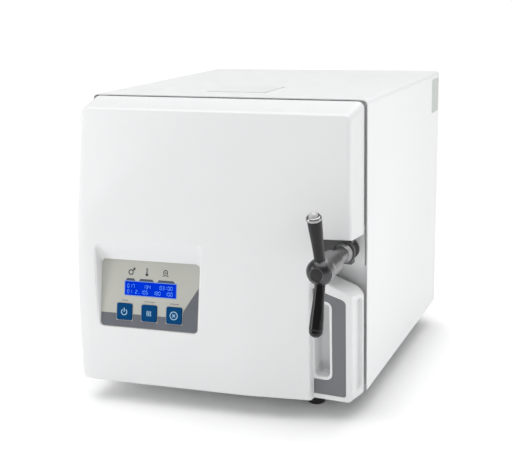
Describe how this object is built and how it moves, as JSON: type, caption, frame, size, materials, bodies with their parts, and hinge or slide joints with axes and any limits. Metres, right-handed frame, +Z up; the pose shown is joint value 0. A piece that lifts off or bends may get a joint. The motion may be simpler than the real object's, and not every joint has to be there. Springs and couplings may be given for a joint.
{
  "type": "benchtop autoclave",
  "caption": "Benchtop steam autoclave with a white cabinet, a side-hinged moulded door with a sunken control panel, and a two-armed clamp handle.",
  "frame": {"origin": "middle of the whole object's box, at the bottom of the feet", "axes": "+Z up, -Y out of the door, +X to the right when facing the door"},
  "size_m": [0.415, 0.564, 0.4384],
  "materials": {
    "casing_white": "smooth semi-gloss paint",
    "cover_white": "satin moulded plastic",
    "grey_plastic": "blue-grey, fine texture",
    "panel_film": "warm grey metallic film with a dark band",
    "lcd_blue": "lit blue display window",
    "button_blue": "dark blue membrane",
    "handle_black": "polished dark grey",
    "black_plastic": "satin",
    "rubber": "matt",
    "silicone": "translucent white, matt",
    "steel": "brushed stainless",
    "chrome": "polished",
    "brass": "machined",
    "circuit_board": "green solder mask",
    "insulation": "mineral wool",
    "tank_plastic": "natural polymer"
  },
  "bodies": {
    "cabinet": {"band_heater": "steel", "base_chassis": "steel", "casing_wrap": "casing_white", "clamp_stud": "steel", "control_board": "circuit_board", "cradle_front": "steel", "cradle_rear": "steel", "drain_pipe": "silicone", "drain_tap": "brass", "exhaust_pipe": "brass", "exhaust_valve_body": "brass", "exhaust_valve_coil": "black_plastic", "fill_pipe": "brass", "fill_valve_body": "brass", "fill_valve_coil": "black_plastic", "filler_collar": "tank_plastic", "foot_front_left": "rubber", "foot_front_right": "rubber", "foot_rear_left": "rubber", "foot_rear_right": "rubber", "front_frame": "casing_white", "fuse_holder": "black_plastic", "hinge_bracket": "steel", "hinge_pin": "steel", "insulation": "insulation", "mouth_ring": "steel", "power_inlet": "black_plastic", "power_supply": "steel", "pressure_vessel": "steel", "rear_panel": "casing_white", "safety_valve_body": "brass", "stud_plate": "steel", "switch_frame": "black_plastic", "tray_1": "steel", "tray_2": "steel", "tray_rack_left": "steel", "tray_rack_right": "steel", "water_tank": "tank_plastic"},
    "door": {"door_cover": "cover_white", "grip_inlay": "grey_plastic", "door_plate": "steel", "door_gasket": "silicone", "plate_boss": "steel", "door_yoke": "steel", "panel_plate": "panel_film", "lcd_display": "lcd_blue", "panel_board": "circuit_board"},
    "clamp_collar": {"clamp_collar": "steel"},
    "handle": {"handle_hub": "handle_black", "handle_arm_upper": "handle_black", "handle_arm_lower": "handle_black", "handle_cap_upper": "chrome", "handle_cap_lower": "chrome"},
    "button_left": {"button_left": "button_blue"},
    "button_middle": {"button_middle": "button_blue"},
    "button_right": {"button_right": "button_blue"},
    "filler_lid": {"filler_lid": "cover_white"},
    "mains_rocker": {"mains_rocker": "black_plastic"},
    "safety_valve_stem": {"safety_valve_stem": "brass"}
  },
  "joints": [
    {"name": "door_hinge", "type": "hinge", "parent": "cabinet", "child": "door", "pos_m": [-0.186, -0.1583, 0.244], "axis": [0, 0, -1], "range_deg": [0, 100]},
    {"name": "clamp_travel", "type": "slide", "parent": "door", "child": "clamp_collar", "axis": [0, -1, 0], "range_m": [0, 0.0031]},
    {"name": "clamp_turn", "type": "hinge", "parent": "clamp_collar", "child": "handle", "pos_m": [0.1855, -0.2523, 0.244], "axis": [0, -1, 0], "range_deg": [0, 540]},
    {"name": "button_left_press", "type": "slide", "parent": "door", "child": "button_left", "axis": [-0.1066, 0.9707, -0.2156], "range_m": [0, 0.0012], "stiffness_N_per_m": 600},
    {"name": "button_middle_press", "type": "slide", "parent": "door", "child": "button_middle", "axis": [-0.1066, 0.9707, -0.2156], "range_m": [0, 0.0012], "stiffness_N_per_m": 600},
    {"name": "button_right_press", "type": "slide", "parent": "door", "child": "button_right", "axis": [-0.1066, 0.9707, -0.2156], "range_m": [0, 0.0012], "stiffness_N_per_m": 600},
    {"name": "lid_hinge", "type": "hinge", "parent": "cabinet", "child": "filler_lid", "pos_m": [-0.0025, -0.0123, 0.438], "axis": [-1, 0, 0], "range_deg": [0, 95]},
    {"name": "mains_switch", "type": "hinge", "parent": "cabinet", "child": "mains_rocker", "pos_m": [-0.0925, 0.2565, 0.09], "axis": [-1, 0, 0], "range_deg": [0, 16]},
    {"name": "safety_lift", "type": "slide", "parent": "cabinet", "child": "safety_valve_stem", "axis": [0, 1, 0], "range_m": [0, 0.004], "stiffness_N_per_m": 1500}
  ],
  "couplings": [
    {"joint": "clamp_travel", "follows": "clamp_turn", "m_per_rad": 0.00031831}
  ]
}
